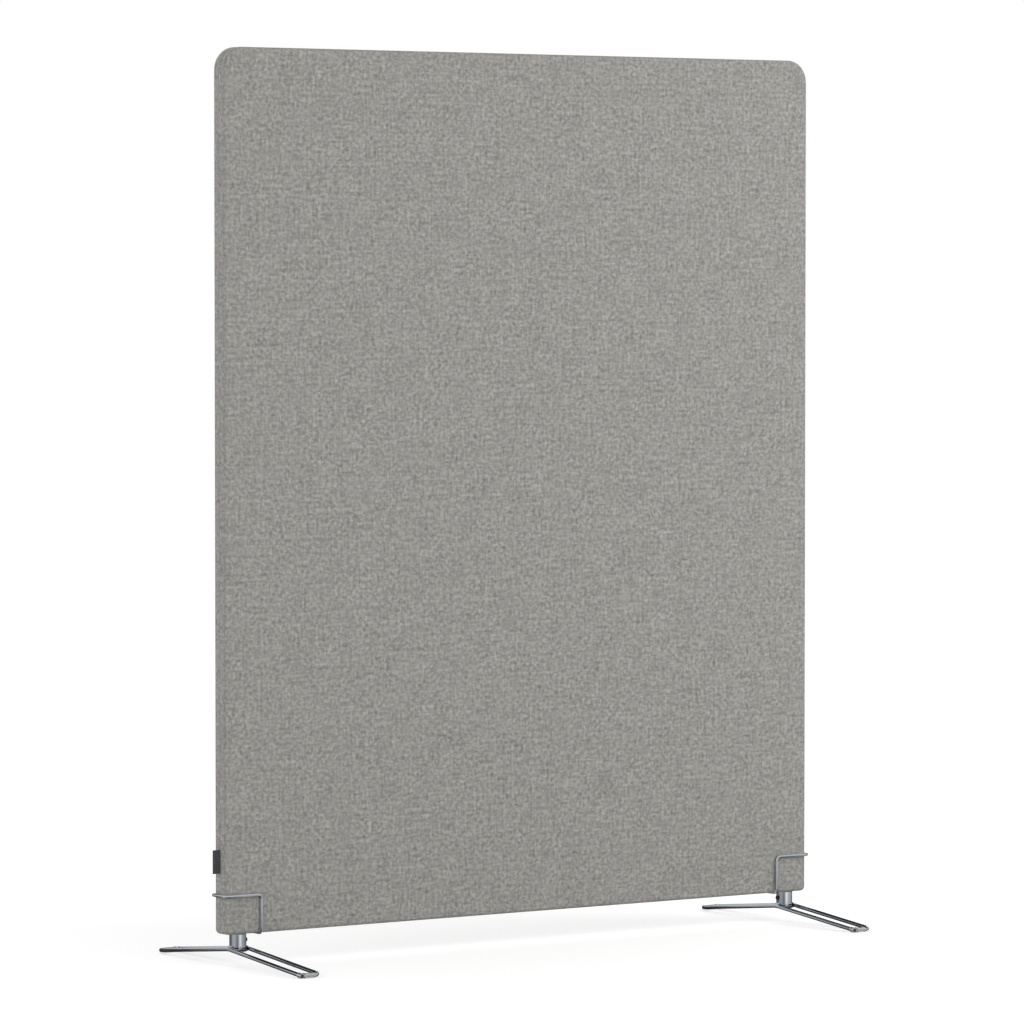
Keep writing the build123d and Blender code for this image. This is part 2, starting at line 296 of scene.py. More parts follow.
SOCKETS = {
    "metallic": "Metallic",
    "specular": "Specular IOR Level",
    "ior": "IOR",
    "clear": "Transmission Weight",
    "sheen": "Sheen Weight",
    "sheen_rough": "Sheen Roughness",
}

# The middle of a noise's values, and where most of them lie
noise_middle = 0.5
most_of_noise = (0.3, 0.7)


class Recipe:
    """A material's node tree, built up one node at a time."""

    def __init__(self, name):
        self.material = bpy.data.materials.new(name)
        self.material.use_nodes = True
        self.tree = self.material.node_tree
        self.shader = self.tree.nodes["Principled BSDF"]
        self.place = self.add("ShaderNodeTexCoord").outputs["Object"]

    def add(self, kind, **settings):
        made = self.tree.nodes.new(kind)
        for key, value in settings.items():
            setattr(made, key, value)
        return made

    def link(self, source, target):
        self.tree.links.new(source, target)

    def put(self, value, socket):
        """Give a socket a colour, a number or another node's output."""
        if isinstance(value, tuple):
            socket.default_value = (*value, 1)
        elif isinstance(value, (int, float)):
            socket.default_value = value
        else:
            self.link(value, socket)

    def scaled(self, vector, scale, turn=(0, 0, 0)):
        """The coordinates times a scale for each axis."""
        mapping = self.add("ShaderNodeMapping")
        mapping.inputs["Scale"].default_value = scale
        mapping.inputs["Rotation"].default_value = turn
        self.link(vector, mapping.inputs["Vector"])
        return mapping.outputs["Vector"]

    def drawn_out(self, axis, across, along):
        """The place on the piece with one scale along an axis and another across it."""
        return self.scaled(self.place, tuple(along if name == axis else across for name in "XYZ"))

    def noise(self, vector, scale=1.0, detail=2.0, rough=0.5, distortion=0.0):
        made = self.add("ShaderNodeTexNoise")
        made.inputs["Scale"].default_value = scale
        made.inputs["Detail"].default_value = detail
        made.inputs["Roughness"].default_value = rough
        made.inputs["Distortion"].default_value = distortion
        self.link(vector, made.inputs["Vector"])
        return made.outputs["Fac"]

    def streaks(self, vector, scales, **settings):
        """Noise with a scale for each axis."""
        return self.noise(self.scaled(vector, scales), **settings)

    def wave(self, vector, scale, distortion, direction):
        made = self.add("ShaderNodeTexWave", bands_direction=direction)
        made.inputs["Scale"].default_value = scale
        made.inputs["Distortion"].default_value = distortion
        self.link(vector, made.inputs["Vector"])
        return made.outputs["Fac"]

    def maths(self, operation, *values):
        made = self.add("ShaderNodeMath", operation=operation)
        for socket, value in zip(made.inputs, values):
            self.put(value, socket)
        return made.outputs[0]

    def weigh(self, first, *others):
        """The sum of several values, each given with its share."""
        total = self.maths("MULTIPLY", *first)
        for other in others:
            total = self.maths("ADD", total, self.maths("MULTIPLY", *other))
        return total

    def choose(self, share, low, high):
        """A number between low and high, by share."""
        rise = self.maths("SUBTRACT", high, low)
        return self.maths("MULTIPLY_ADD", rise, share, low)

    def fit(self, value, span, target=(0.0, 1.0), smoothly=False):
        """A value's span moved to another one, and held inside it."""
        made = self.add("ShaderNodeMapRange")
        if smoothly:
            made.interpolation_type = "SMOOTHSTEP"
        names = ("From Min", "From Max", "To Min", "To Max")
        for name, number in zip(names, (*span, *target)):
            made.inputs[name].default_value = number
        self.link(value, made.inputs["Value"])
        return made.outputs["Result"]

    def split(self, vector):
        made = self.add("ShaderNodeSeparateXYZ")
        self.link(vector, made.inputs[0])
        return made.outputs

    def ramp(self, value, *stops):
        """Colours along a value: stops are (position, (r, g, b))."""
        made = self.add("ShaderNodeValToRGB")
        points = made.color_ramp.elements
        while len(points) < len(stops):
            points.new(0.5)
        for point, (position, colour) in zip(points, stops):
            point.position = position
            point.color = (*colour, 1)
        self.link(value, made.inputs["Fac"])
        return made.outputs["Color"]

    def mix(self, factor, a, b):
        made = self.add("ShaderNodeMix", data_type="RGBA")
        for index, value in ((0, factor), (6, a), (7, b)):
            self.put(value, made.inputs[index])
        return made.outputs[2]

    def bump(self, height, distance, strength, under=None):
        made = self.add("ShaderNodeBump")
        made.inputs["Distance"].default_value = distance
        made.inputs["Strength"].default_value = strength
        self.link(height, made.inputs["Height"])
        if under is not None:
            self.link(under, made.inputs["Normal"])
        return made.outputs["Normal"]

    def finish(self, colour, rough, normal=None, **constants):
        """Wire the shader's sockets, and set what is the same all over on the shader itself."""
        for name, value in (("Base Color", colour), ("Roughness", rough), ("Normal", normal)):
            if value is not None:
                self.put(value, self.shader.inputs[name])
        for name, value in constants.items():
            self.shader.inputs[SOCKETS[name]].default_value = value
        return self.material


# Cloth. Scales are counted per metre of the unrolled cloth

cloth_light = (0.47, 0.463, 0.436)
cloth_middle = (0.323, 0.318, 0.298)
cloth_dark = (0.195, 0.192, 0.179)
cloth_colours = ((0.325, cloth_dark), (0.5, cloth_middle), (0.675, cloth_light))
# Painted shade on the cloth's rounded edges: how much darker they are, and the spans of the
# normal's facing that bound it
painted_edge_shade = 0.25
edge_near, edge_far = (0.04, 0.2), (0.5, 0.95)

dash_long, dash_fine = 95.0, 235.0
patch_scale, patch_span = 90.0, (0.42, 0.58)
fleck_scale = 165.0
cloud_scale = 26.0
dash_share, fleck_share, cloud_share = 0.43, 0.47, 0.1
contrast_scale, contrast_span, contrast = 20.0, (0.35, 0.65), (0.62, 0.85)
slub_along, slub_across, slub_share = 16.0, 240.0, 0.15

yarn_flatness = 0.35
crossing_blur = (-0.06, 0.06)
fibre_along, fibre_across, fibre_share = 420.0, 2800.0, 0.3
# The weave's painted shade and highlight: darker in the hollows between yarns, lighter on their
# crowns
crown_span, weave_shade_and_highlight = (0.0, 0.8), (-0.025, 0.02)
fleck_height = 0.6
fuzz_scale = 2600.0


def melange_flecks(r, sheet):
    """The mixed fibres' light and dark, drawn out along both yarns: the tone, and its flecks."""
    across = r.streaks(sheet, (dash_long, dash_fine, 1), detail=1.0)
    along = r.streaks(sheet, (dash_fine, dash_long, 1), detail=1.0)
    patch = r.fit(r.noise(sheet, patch_scale, detail=1.0), patch_span, smoothly=True)
    across = r.maths("MULTIPLY", across, patch)
    along = r.maths("MULTIPLY", along, r.maths("SUBTRACT", 1.0, patch))
    dashes = r.maths("ADD", across, along)
    fleck = r.noise(sheet, fleck_scale, detail=0.5, rough=0.4, distortion=0.3)
    cloud = r.noise(sheet, cloud_scale)
    tone = r.weigh((dashes, dash_share), (fleck, fleck_share), (cloud, cloud_share))
    strength = r.fit(r.noise(sheet, contrast_scale, detail=1.0), contrast_span, contrast)
    tone = r.maths("MULTIPLY_ADD", r.maths("SUBTRACT", tone, noise_middle), strength, noise_middle)
    for streak in ((slub_along, slub_across, 1), (slub_across, slub_along, 1)):
        slub = r.maths("SUBTRACT", r.streaks(sheet, streak, detail=1.0), noise_middle)
        tone = r.maths("MULTIPLY_ADD", slub, slub_share, tone)
    return tone, fleck


def plain_weave(r, sheet):
    """Yarns that pass over and under each other: where the weft is on top, and the height."""
    u, v, _ = r.split(sheet)
    turn = math.pi / thread_pitch
    wave_u = r.maths("SINE", r.maths("MULTIPLY", u, turn))
    wave_v = r.maths("SINE", r.maths("MULTIPLY", v, turn))
    weft_over = r.fit(r.maths("MULTIPLY", wave_u, wave_v), crossing_blur)
    rise_u, rise_v = r.maths("ABSOLUTE", wave_u), r.maths("ABSOLUTE", wave_v)
    weft = r.maths("MULTIPLY", r.maths("POWER", rise_u, yarn_flatness), rise_v)
    warp = r.maths("MULTIPLY", rise_u, r.maths("POWER", rise_v, yarn_flatness))
    return weft_over, r.choose(weft_over, warp, weft)


def melange_cloth():
    """Warm grey melange cloth, plain woven, with painted shade where it turns over the edges."""
    r = Recipe("melange_cloth")
    sheet = r.add("ShaderNodeUVMap", uv_map="cloth").outputs["UV"]
    tone, fleck = melange_flecks(r, sheet)
    weft_over, crown = plain_weave(r, sheet)
    weft_fibre = r.streaks(sheet, (fibre_along, fibre_across, 1), rough=0.6)
    warp_fibre = r.streaks(sheet, (fibre_across, fibre_along, 1), rough=0.6)
    fibre = r.maths("SUBTRACT", r.choose(weft_over, warp_fibre, weft_fibre), noise_middle)
    tone = r.maths("MULTIPLY_ADD", fibre, fibre_share, tone)
    # Painted shade in the weave's hollows and painted highlight on the yarns' crowns
    tone = r.maths("ADD", tone, r.fit(crown, crown_span, weave_shade_and_highlight))
    colour = r.ramp(tone, *cloth_colours)
    # Painted shade: darker on the rounded edges, where the cloth turns away from the broad faces
    facing = r.maths("ABSOLUTE", r.split(r.add("ShaderNodeTexCoord").outputs["Normal"])[1])
    edge = r.maths("MULTIPLY", r.fit(facing, edge_near), r.fit(facing, edge_far, (1.0, 0.0)))
    colour = r.mix(r.maths("MULTIPLY", edge, painted_edge_shade), colour, cloth_dark)
    height = r.maths("ADD", crown, r.maths("MULTIPLY", fleck, fleck_height))
    fuzz = r.noise(sheet, fuzz_scale, rough=0.7)
    normal = r.bump(height, distance=0.0003, strength=0.55)
    normal = r.bump(fuzz, distance=0.0001, strength=0.5, under=normal)
    rough = r.fit(fleck, most_of_noise, (0.86, 0.97))
    return r.finish(colour, rough, normal, specular=0.25, sheen=0.06, sheen_rough=0.5)


# Other materials. Scales are counted per metre, and bump distances are metres

chrome_tint = (0.94, 1.0, 1.07)
chrome_dull = 0.88
chrome_haze = 0.05
zinc_dull = 0.72


def tag_tape():
    """Charcoal woven tape with a fine slanting twill."""
    r = Recipe("tag_tape")
    slanting = r.scaled(r.place, (1, 1, 1), turn=(0, math.radians(45), 0))
    twill = r.wave(slanting, scale=900.0, distortion=0.4, direction="X")
    lint = r.noise(r.place, 1500.0, detail=3.0, rough=0.6)
    tone = r.weigh((twill, 0.6), (lint, 0.4))
    colour = r.ramp(tone, (0.2, (0.042, 0.044, 0.048)), (0.8, (0.12, 0.123, 0.13)))
    return r.finish(colour, 0.85, r.bump(tone, distance=0.00012, strength=0.7), specular=0.3)


def felt(name, dark, light, fineness=1.0):
    """Matted fibres lying all ways, for the wadding and the core slabs."""
    r = Recipe(name)
    across, along = 900 * fineness, 240 * fineness
    matting = {"detail": 4.0, "rough": 0.65, "distortion": 0.8}
    lying = r.streaks(r.place, (across, across, along), **matting)
    crossing = r.streaks(r.place, (along, across, across), **matting)
    tone = r.maths("MULTIPLY", r.maths("ADD", lying, crossing), 0.5)
    colour = r.ramp(tone, (0.3, dark), (0.7, light))
    return r.finish(colour, 0.95, r.bump(tone, distance=0.0006, strength=0.6), specular=0.2)


def planed_wood(name, grain, dark, light, fineness=1.0):
    """Planed wood with its year rings drawn out along the piece. grain is the long axis."""
    r = Recipe(name)
    drawn = r.drawn_out(grain, across=30 * fineness, along=1.6 * fineness)
    bend = r.noise(drawn, scale=1.2, detail=3.0)
    rings = r.wave(drawn, scale=1.4, distortion=5.0, direction="Y")
    fine = r.drawn_out(grain, across=900 * fineness, along=14 * fineness)
    pores = r.noise(fine, detail=3.0, rough=0.6)
    tone = r.weigh((rings, 0.45), (bend, 0.25), (pores, 0.3))
    colour = r.ramp(tone, (0.25, dark), (0.75, light))
    rough = r.fit(pores, most_of_noise, (0.55, 0.72))
    return r.finish(colour, rough, r.bump(pores, distance=0.0002, strength=0.5), specular=0.35)


def chrome(name, tone, polish, draw_axis=None, ripple=None):
    """Bright chrome plate with a faint haze, over drawn lines along an axis or a weld's ripple."""
    r = Recipe(name)
    haze = r.noise(r.place, 190.0, detail=4.0, rough=0.6)
    grit = r.noise(r.place, 900.0, rough=0.6)
    clean = tuple(tone * c for c in chrome_tint)
    dull = tuple(chrome_dull * c for c in clean)
    colour = r.ramp(haze, (0.35, clean), (0.8, dull))
    rough = r.fit(haze, most_of_noise, (polish, polish + chrome_haze))
    normal = r.bump(grit, distance=0.00001, strength=0.1)
    if draw_axis:
        lines = r.noise(r.drawn_out(draw_axis, across=700.0, along=8.0))
        normal = r.bump(lines, distance=0.00001, strength=0.15, under=normal)
    if ripple:
        beads = r.wave(r.place, scale=ripple, distortion=3.0, direction="Y")
        normal = r.bump(beads, distance=0.00004, strength=0.4, under=normal)
    return r.finish(colour, rough, normal, metallic=1.0)


def zinc(name, tone):
    """Zinc-plated steel with a faint spangle."""
    r = Recipe(name)
    cells = r.add("ShaderNodeTexVoronoi")
    cells.inputs["Scale"].default_value = 420.0
    r.link(r.place, cells.inputs["Vector"])
    haze = r.noise(r.place, 260.0, detail=4.0, rough=0.6)
    dark = tuple(zinc_dull * c for c in tone)
    spangle = r.weigh((cells.outputs["Distance"], 0.4), (haze, 0.6))
    colour = r.ramp(spangle, (0.25, dark), (0.75, tone))
    rough = r.fit(haze, most_of_noise, (0.3, 0.48))
    return r.finish(colour, rough, r.bump(haze, distance=0.00005, strength=0.4), metallic=1.0)


def turned_steel():
    """Bright turned steel with the lathe's fine rings."""
    r = Recipe("turned_steel")
    rings = r.wave(r.place, scale=1800.0, distortion=0.3, direction="Z")
    haze = r.noise(r.place, 300.0, detail=3.0, rough=0.6)
    colour = r.ramp(haze, (0.3, (0.42, 0.42, 0.43)), (0.7, (0.58, 0.58, 0.59)))
    rough = r.fit(haze, most_of_noise, (0.22, 0.36))
    return r.finish(colour, rough, r.bump(rings, distance=0.00003, strength=0.5), metallic=1.0)


def black_oxide():
    """Black oxide screw, a little worn."""
    r = Recipe("black_oxide")
    haze = r.noise(r.place, 500.0, detail=4.0, rough=0.6)
    colour = r.ramp(haze, (0.35, (0.02, 0.021, 0.023)), (0.75, (0.075, 0.077, 0.08)))
    rough = r.fit(haze, most_of_noise, (0.28, 0.45))
    return r.finish(colour, rough, r.bump(haze, distance=0.00004, strength=0.4), metallic=0.7)


def black_plug():
    """Black moulded plastic, softly grained."""
    r = Recipe("black_plug")
    grain = r.noise(r.place, 1400.0, rough=0.6)
    colour = r.ramp(grain, (0.3, (0.014, 0.014, 0.015)), (0.7, (0.03, 0.03, 0.032)))
    rough = r.fit(grain, most_of_noise, (0.4, 0.55))
    return r.finish(colour, rough, r.bump(grain, distance=0.00005, strength=0.4))


def milky_glide():
    """Milky clear plastic of the glides, scuffed towards the floor."""
    r = Recipe("milky_glide")
    scuff = r.noise(r.place, 700.0, detail=4.0, rough=0.6)
    low = r.fit(r.split(r.place)[2], (0.0, 0.003), (1.0, 0.0))
    colour = r.ramp(scuff, (0.3, (0.62, 0.63, 0.64)), (0.7, (0.78, 0.79, 0.8)))
    worn = r.maths("MULTIPLY", low, scuff)
    rough = r.fit(worn, (0.0, 0.6), (0.18, 0.5))
    normal = r.bump(scuff, distance=0.00005, strength=0.3)
    return r.finish(colour, rough, normal, clear=0.55, ior=1.49)


def finishes():
    """Every material by the record's slot. Stiles and ferrules have their own."""
    pine = ((0.47, 0.3, 0.15), (0.72, 0.53, 0.32))
    beech = ((0.5, 0.33, 0.2), (0.7, 0.5, 0.34))
    return {
        "cover_fabric": melange_cloth(),
        "tag_fabric": tag_tape(),
        "padding_felt": felt("wadding", (0.66, 0.66, 0.64), (0.86, 0.86, 0.84)),
        "acoustic_felt": felt("core_fibre", (0.42, 0.4, 0.33), (0.68, 0.65, 0.55), 0.7),
        "frame_timber": planed_wood("pine_rail", "X", *pine),
        "stile_timber": planed_wood("pine_stile", "Z", *pine),
        "dowel_beech": planed_wood("beech_dowel", "X", *beech, fineness=3.0),
        "zinc_steel": zinc("zinc_fixings", (0.66, 0.67, 0.69)),
        "zinc_plate": zinc("zinc_plate", (0.6, 0.61, 0.63)),
        "bright_steel": turned_steel(),
        "chromed_wire": chrome("chromed_wire", tone=0.5, polish=0.3),
        "chromed_tube": chrome("chromed_tube", tone=0.76, polish=0.05, draw_axis="Z"),
        "satin_ferrule": chrome("satin_ferrule", tone=0.85, polish=0.38),
        "chromed_rod": chrome("chromed_rod", tone=0.42, polish=0.08, draw_axis="Y"),
        "chromed_weld": chrome("chromed_weld", tone=0.42, polish=0.16, ripple=210.0),
        "black_steel": black_oxide(),
        "black_plastic": black_plug(),
        "clear_plastic": milky_glide(),
    }


def dress_cad_nodes(finish):
    """Give every carried-over CAD node its material."""
    slot_of = {s["node"]: s["material_slot"] for s in frame["record"]["subparts"]}
    for name, piece in node.items():
        slot = slot_of[name]
        if name.endswith("stile"):
            slot = "stile_timber"
        elif name.endswith("ferrules"):
            slot = "satin_ferrule"
        piece.data.materials.clear()
        piece.data.materials.append(finish[slot])


# Cloth covers

def outline_way(x, z):
    """Unit vector from the panel's inner outline towards its nearest edge, in the panel's plane."""
    corner = top_corner if z > panel_middle else bottom_corner
    inner_x = max(-half_width + corner, min(half_width - corner, x))
    inner_z = max(panel_low + corner, min(panel_high - corner, z))
    way = Vector((x - inner_x, z - inner_z))
    return way.normalized() if way.length > least_length else Vector((0, 0))


def lay_cloth_map(piece):
    """Unroll the cloth into the panel's plane, so that the weave turns over the edges with it.

    The rear cover is cut from another stretch of the same cloth.
    """
    layer = piece.data.uv_layers.new(name="cloth")
    for loop in piece.data.loops:
        x, y, z = piece.data.vertices[loop.vertex_index].co
        turned = half_depth - abs(y)
        way = outline_way(x, z)
        u, v = x + way.x * turned, z + way.y * turned
        layer.data[loop.index].uv = (u, v if y < 0 else v + rear_sheet_shift)


def make_cover(name, side):
    """One half of the cloth cover: front (side -1) or rear (side +1)."""
    depth = half_depth - face_crown
    piece = add_block(name, (-half_width, -depth, panel_low), (half_width, depth, panel_high))
    edit(piece, "EDGE")
    round_corners(piece, panel_high, top_corner, top_corner_steps)
    round_corners(piece, panel_low, bottom_corner, bottom_corner_steps)
    pick(piece, "EDGE", lambda a, b: near(abs(a.y), depth) and near(a.y, b.y))
    bpy.ops.mesh.bevel(
        offset=edge_round, segments=edge_round_steps, affect="EDGES", clamp_overlap=False)
    bpy.ops.mesh.select_all(action="SELECT")
    bpy.ops.mesh.bisect(plane_co=(0, 0, 0), plane_no=(0, side, 0), clear_inner=True)
    draw_in_seam(piece, side)
    cut_flap(piece, side)
    raise_crown(piece, side)
    done()
    apply_modifier(piece, "SOLIDIFY", thickness=cloth_thickness, offset=-1)
    smooth(piece)
    lay_cloth_map(piece)
    return piece


def draw_in_seam(piece, side):
    """Round the cloth's border at the seam inwards, as the stitches draw it."""
    for share in seam_cuts:
        cut((0, side * seam_width * share, 0), (0, 1, 0))
    for share, pull in seam_pulls:
        reach = seam_width * share + place_slack
        drawn = seam_depth * pull
        pick(piece, "VERT", lambda p: abs(p.y) < reach and p.z > panel_low + bottom_corner)
        bpy.ops.transform.resize(
            value=((half_width - drawn) / half_width, 1, (half_height - drawn) / half_height),
            center_override=(0, 0, panel_middle),
        )


def cut_flap(piece, side):
    """Under the panel: the gap between the flaps, the wire's slot and the plate's notch."""
    for x in (slot_inner, slot_outer, notch_outer):
        cut((x, 0, 0), (1, 0, 0))
        cut((-x, 0, 0), (1, 0, 0))
    cut((0, 0, slot_high), (0, 0, 1))
    cut((0, side * notch_half, 0), (0, 1, 0))
    cut((0, side * flap_gap, 0), (0, 1, 0))

    def removed(centre, normal):
        x, y = abs(centre.x), abs(centre.y)
        in_slot = slot_inner < x < slot_outer and centre.z < slot_high
        in_notch = slot_outer < x < notch_outer and y < notch_half and normal.z < faces_down
        in_gap = x < slot_outer and y < flap_gap and normal.z < faces_down
        return in_slot or in_notch or in_gap

    pick(piece, "FACE", removed)
    bpy.ops.mesh.delete(type="FACE")


def raise_crown(piece, side):
    """The broad face swells a little over its wadding, in rings from the border inwards."""
    for inward, share in crown_rings:
        for x in (half_width - inward, inward - half_width):
            cut((x, 0, 0), (1, 0, 0))
        for z in (panel_low + inward, panel_high - inward):
            cut((0, 0, z), (0, 0, 1))
        inner_x = half_width - inward + place_slack
        inner_z = half_height - inward + place_slack
        pick(piece, "VERT", lambda p: (
            abs(p.x) < inner_x and abs(p.z - panel_middle) < inner_z and abs(p.y) > half_depth / 2))
        bpy.ops.transform.translate(value=(0, side * face_crown * share, 0))


# Wadding and core slabs

def make_slab(name, stands_for, give, both_faces):
    """A felt slab with softened edges on its outer face or on both, and a frame set into each."""
    low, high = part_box(stands_for)
    piece = add_block(name, low, high)
    edit(piece, "EDGE")
    inset = high.x - half_width
    if high.z - panel_high > inset - border_slack:
        round_corners(piece, high.z, top_corner + inset, slab_corner_steps)
        round_corners(piece, low.z, bottom_corner + inset, slab_corner_steps)
    outer = low.y if abs(low.y) > abs(high.y) else high.y
    pick(piece, "EDGE", lambda a, b: near(a.y, b.y) and (near(a.y, outer) or both_faces))
    bpy.ops.mesh.bevel(
        offset=give, segments=slab_edge_steps, affect="EDGES", clamp_overlap=False)
    pick(piece, "FACE", lambda c, n: near(abs(n.y), 1) and near(c.x, 0))
    bpy.ops.mesh.inset(thickness=slab_face_frame, depth=0)
    done()
    smooth(piece)
    return piece


# Care tag

def make_tag():
    """A short strip folded over on itself, its two ends caught in the side seam."""
    low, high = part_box("side_tag")
    fold_x = low.x + fold_inset
    reach = high.x - fold_x
    deselect()
    bpy.ops.mesh.primitive_plane_add(size=1, location=(0, 0, 0), rotation=(math.pi / 2, 0, 0))
    piece = bpy.context.object
    piece.scale = (reach, high.z - low.z, 1)
    piece.location = ((high.x + fold_x) / 2, -tape_spacing, (high.z + low.z) / 2)
    settle(piece, "care_tag")
    edit(piece, "EDGE")
    pick(piece, "EDGE", lambda a, b: near(a.x, fold_x) and near(b.x, fold_x))
    bpy.ops.mesh.spin(steps=fold_steps, angle=-math.pi, center=(fold_x, 0, 0), axis=(0, 0, 1))
    pick(piece, "EDGE", lambda a, b: near(a.x, fold_x) and near(b.x, fold_x) and a.y > 0)
    bpy.ops.mesh.extrude_region_move(TRANSFORM_OT_translate={"value": (reach, 0, 0)})
    bpy.ops.mesh.select_all(action="SELECT")
    bpy.ops.mesh.remove_doubles(threshold=least_length)
    for share in tag_cuts:
        cut((fold_x + reach * share, 0, 0), (1, 0, 0))
    bpy.ops.mesh.select_all(action="SELECT")
    bpy.ops.mesh.normals_make_consistent(inside=False)
    for share, shift in tag_lean:
        limit = fold_x + reach * share
        pick(piece, "VERT", lambda p: p.x < limit)
        bpy.ops.transform.translate(value=(0, shift, 0))
    done()
    apply_modifier(piece, "SOLIDIFY", thickness=tape_thickness, offset=0)
    apply_modifier(piece, "BEVEL", width=tape_edge, segments=2, limit_method="ANGLE")
    smooth(piece, tape_smooth_angle)
    return piece


def hand_over(piece, stands_for, slot, finish):
    """The piece takes a node's place, body and material."""
    piece.data.materials.clear()
    piece.data.materials.append(finish[slot])
    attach(piece, "panel")
    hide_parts(stands_for)


def make_soft_pieces(finish):
    """The cloth, felt and tape pieces, each standing for its plain CAD solid."""
    covers = (("front_cover_cloth", "front_cover", -1), ("rear_cover_cloth", "rear_cover", 1))
    for name, stands_for, side in covers:
        piece = make_cover(name, side)
        hand_over(piece, stands_for, "cover_fabric", finish)
    for name in ("front_padding", "rear_padding"):
        piece = make_slab(f"{name}_felt", name, wadding_give, both_faces=False)
        hand_over(piece, name, "padding_felt", finish)
    for name in ("lower_core", "upper_core"):
        piece = make_slab(f"{name}_slab", name, core_give, both_faces=True)
        hand_over(piece, name, "acoustic_felt", finish)
    tag = make_tag()
    hand_over(tag, "side_tag", "tag_fabric", finish)


# Studio

def make_floor():
    """A white floor that keeps the object's shadow, and turns into white backdrop further out."""
    deselect()
    bpy.ops.mesh.primitive_plane_add(size=floor_size, location=(0, 0, 0))
    floor = bpy.context.object
    floor.name = "studio_floor"
    r = Recipe("floor_paper")
    shades = ((0.0, (floor_tones[0],) * 3), (1.0, (floor_tones[1],) * 3))
    r.finish(r.ramp(r.noise(r.place, 3.0), *shades), 0.9, specular=0.0)
    x, y, _ = r.split(r.place)
    x_squared, y_squared = r.maths("MULTIPLY", x, x), r.maths("MULTIPLY", y, y)
    away = r.maths("SQRT", r.maths("ADD", x_squared, y_squared))
    seen = seen_share(r.tree)
    glow = r.add("ShaderNodeEmission")
    r.link(r.maths("MULTIPLY", seen, floor_glow), glow.inputs["Strength"])
    near_object = r.add("ShaderNodeAddShader")
    r.link(r.shader.outputs[0], near_object.inputs[0])
    r.link(glow.outputs[0], near_object.inputs[1])
    backdrop = r.add("ShaderNodeEmission")
    whole = r.add("ShaderNodeMixShader")
    share = r.maths("MULTIPLY", seen, r.fit(away, floor_fade, smoothly=True))
    r.link(share, whole.inputs["Fac"])
    r.link(near_object.outputs[0], whole.inputs[1])
    r.link(backdrop.outputs[0], whole.inputs[2])
    r.link(whole.outputs[0], r.tree.nodes["Material Output"].inputs["Surface"])
    floor.data.materials.append(r.material)


def seen_share(tree):
    """1 for rays from the camera, a reflection or a clear piece, and 0 for rays that only light."""
    path = tree.nodes.new("ShaderNodeLightPath")
    value = path.outputs["Is Camera Ray"]
    for name in ("Is Glossy Ray", "Is Transmission Ray"):
        most = tree.nodes.new("ShaderNodeMath")
        most.operation = "MAXIMUM"
        tree.links.new(value, most.inputs[0])
        tree.links.new(path.outputs[name], most.inputs[1])
        value = most.outputs[0]
    return value


def make_world():
    """Even light from all round, and white where it is seen."""
    world = bpy.data.worlds.new("studio_air")
    bpy.context.scene.world = world
    world.use_nodes = True
    tree = world.node_tree
    light, seen = tree.nodes["Background"], tree.nodes.new("ShaderNodeBackground")
    for background, level in ((light, air_level), (seen, 1.0)):
        background.inputs["Color"].default_value = (1, 1, 1, 1)
        background.inputs["Strength"].default_value = level
    both = tree.nodes.new("ShaderNodeMixShader")
    tree.links.new(seen_share(tree), both.inputs["Fac"])
    tree.links.new(light.outputs[0], both.inputs[1])
    tree.links.new(seen.outputs[0], both.inputs[2])
    tree.links.new(both.outputs[0], tree.nodes["World Output"].inputs["Surface"])


def add_softbox(name, place, target, size, power):
    """A square soft lamp that points at a target."""
    deselect()
    bpy.ops.object.light_add(type="AREA", location=place)
    lamp = bpy.context.object
    lamp.name = name
    lamp.data.size = size
    lamp.data.energy = power
    way = Vector(target) - Vector(place)
    lamp.rotation_euler = way.to_track_quat("-Z", "Y").to_euler()
    lamp.visible_camera = False
    lamp.visible_glossy = False


def hide_from_all_but_reflections(card):
    """Only mirror-like surfaces see the card: it lights nothing and shades nothing."""
    card.visible_camera = False
    card.visible_diffuse = False
    card.visible_shadow = False
    card.visible_transmission = False


def add_card(name, middle, size, turn, tone):
    """A grey card, as set up beside polished metal."""
    deselect()
    bpy.ops.mesh.primitive_plane_add(size=1, location=middle, rotation=turn)
    card = bpy.context.object
    card.scale = (*size, 1)
    settle(card, name)
    r = Recipe(name + "_paper")
    least, most = card_shades
    shades = ((0.0, (tone * least,) * 3), (1.0, (tone * most,) * 3))
    r.finish(r.ramp(r.noise(r.place, 40.0), *shades), 1.0, specular=0.0)
    card.data.materials.append(r.material)
    hide_from_all_but_reflections(card)


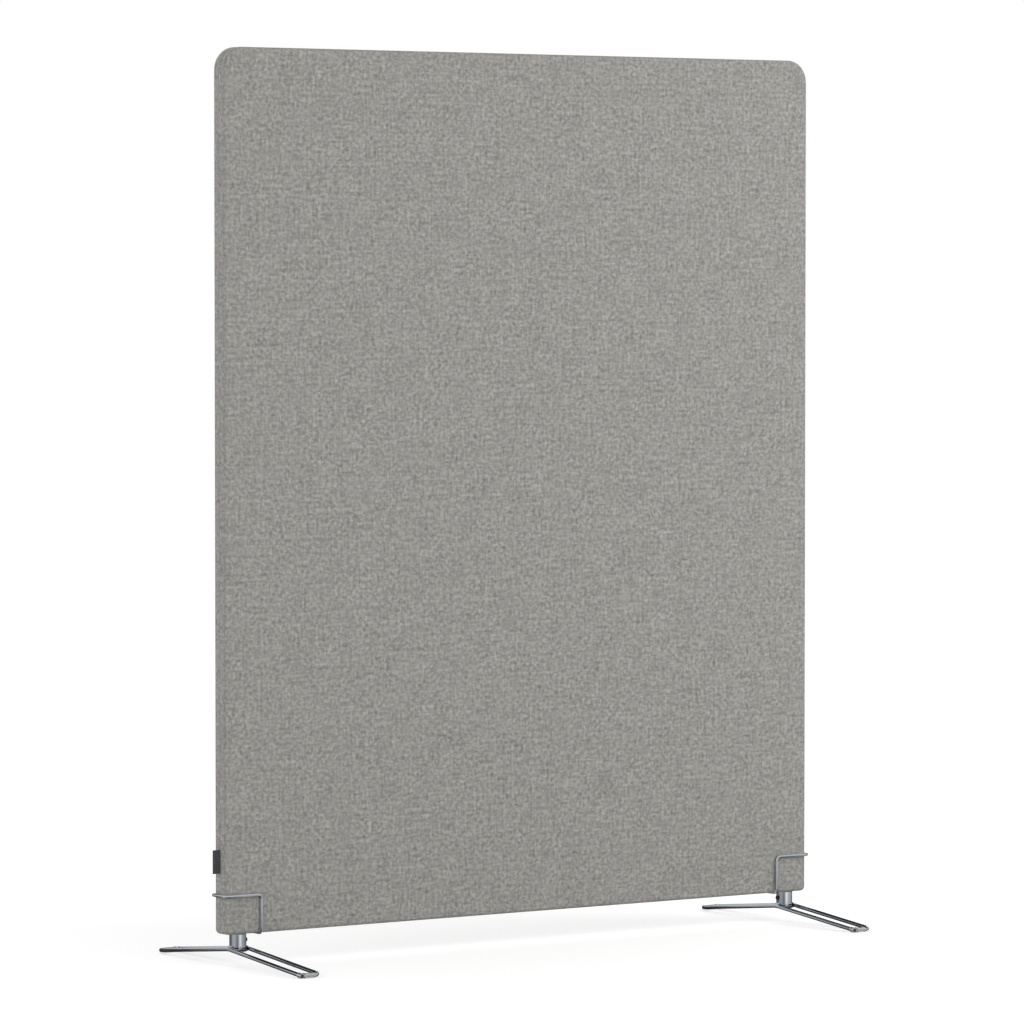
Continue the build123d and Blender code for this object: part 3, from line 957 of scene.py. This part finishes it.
def add_banded_ring(name, middle, turn):
    """A ring on the floor round a post, printed with grey rays that it mirrors as upright bands.

    Bearings are in degrees from the camera's side, counted anticlockwise from above.
    """
    deselect()
    bpy.ops.mesh.primitive_circle_add(
        vertices=ring_corners, radius=ring_outer, fill_type="NGON", location=(middle, 0, card_lift))
    ring = settle(bpy.context.object, name)
    edit(ring, "FACE")
    bpy.ops.mesh.select_all(action="SELECT")
    bpy.ops.mesh.inset(thickness=ring_outer - ring_inner, depth=0)
    bpy.ops.mesh.delete(type="FACE")
    done()
    r = Recipe(name + "_print")
    x, y, _ = r.split(r.place)
    facing = math.atan2(-math.cos(camera_yaw), -math.sin(camera_yaw)) + math.radians(turn)
    facing_x, facing_y = math.cos(facing), math.sin(facing)
    along = r.maths("SUBTRACT", x, middle)
    depth = r.maths("MULTIPLY_ADD", along, facing_x, r.maths("MULTIPLY", y, facing_y))
    side = r.maths("MULTIPLY_ADD", along, -facing_y, r.maths("MULTIPLY", y, facing_x))
    bearing = r.maths("ARCTAN2", side, depth)
    stops = [((angle + 180) / 360, (tone,) * 3) for angle, tone in ring_rays]
    r.finish(r.ramp(r.fit(bearing, (-math.pi, math.pi)), *stops), 1.0, specular=0.0)
    ring.data.materials.append(r.material)
    hide_from_all_but_reflections(ring)


def set_cards(side, post_x, ring_turn, tip_bearing, tip_y):
    """Cards round one foot: rays for its post, and dark ones below, over and behind its rods."""
    upright = math.pi / 2
    add_banded_ring(f"{side}_banded_ring", post_x, ring_turn)
    strip_size = (strip_width, 2 * foot_reach)
    add_card(f"{side}_floor_card", (post_x, 0, 2 * card_lift), strip_size, (0, 0, 0), dark_tone)

    roof_outer = math.copysign(half_width + roof_margin, post_x)
    roof_inner = math.copysign(leg_x + wire, post_x)
    roof_y = -(half_depth + roof_reach / 2) - roof_gap
    roof_place = ((roof_outer + roof_inner) / 2, roof_y, panel_low + roof_lift)
    roof_size = (abs(roof_outer - roof_inner), roof_reach)
    add_card(f"{side}_roof_card", roof_place, roof_size, (0, 0, 0), roof_tone)

    back_place = (post_x * back_outward, back_distance, back_size[1] / 2)
    add_card(f"{side}_back_card", back_place, back_size, (upright, 0, 0), dark_tone)

    bearing = math.radians(tip_bearing)
    tip_place = Vector((math.copysign(guard_high.x, post_x), tip_y, guard_high.z))
    tip_place += tip_away * Vector((math.cos(bearing), math.sin(bearing), 0))
    tip_turn = (upright, 0, bearing + upright)
    add_card(f"{side}_tip_card", tip_place, tip_size, tip_turn, roof_tone)


def make_studio():
    """Floor, even air light, soft lamps all round, and the cards for the chrome."""
    make_floor()
    make_world()
    for softbox in softboxes:
        add_softbox(*softbox)
    for side, cards in foot_cards.items():
        set_cards(side, **cards)
    bpy.context.scene.view_settings.view_transform = "Standard"


def make_camera():
    """The photograph's viewpoint."""
    data = bpy.data.cameras.new("view_camera")
    data.lens = camera_lens
    data.sensor_width = sensor_width
    data.clip_start, data.clip_end = clip_range
    camera = bpy.data.objects.new("view_camera", data)
    camera.location = camera_place
    camera.rotation_euler = (math.pi / 2 - camera_pitch, 0, -camera_yaw)
    bpy.context.scene.collection.objects.link(camera)
    bpy.context.scene.camera = camera


made = finishes()
dress_cad_nodes(made)
make_soft_pieces(made)
make_studio()
make_camera()
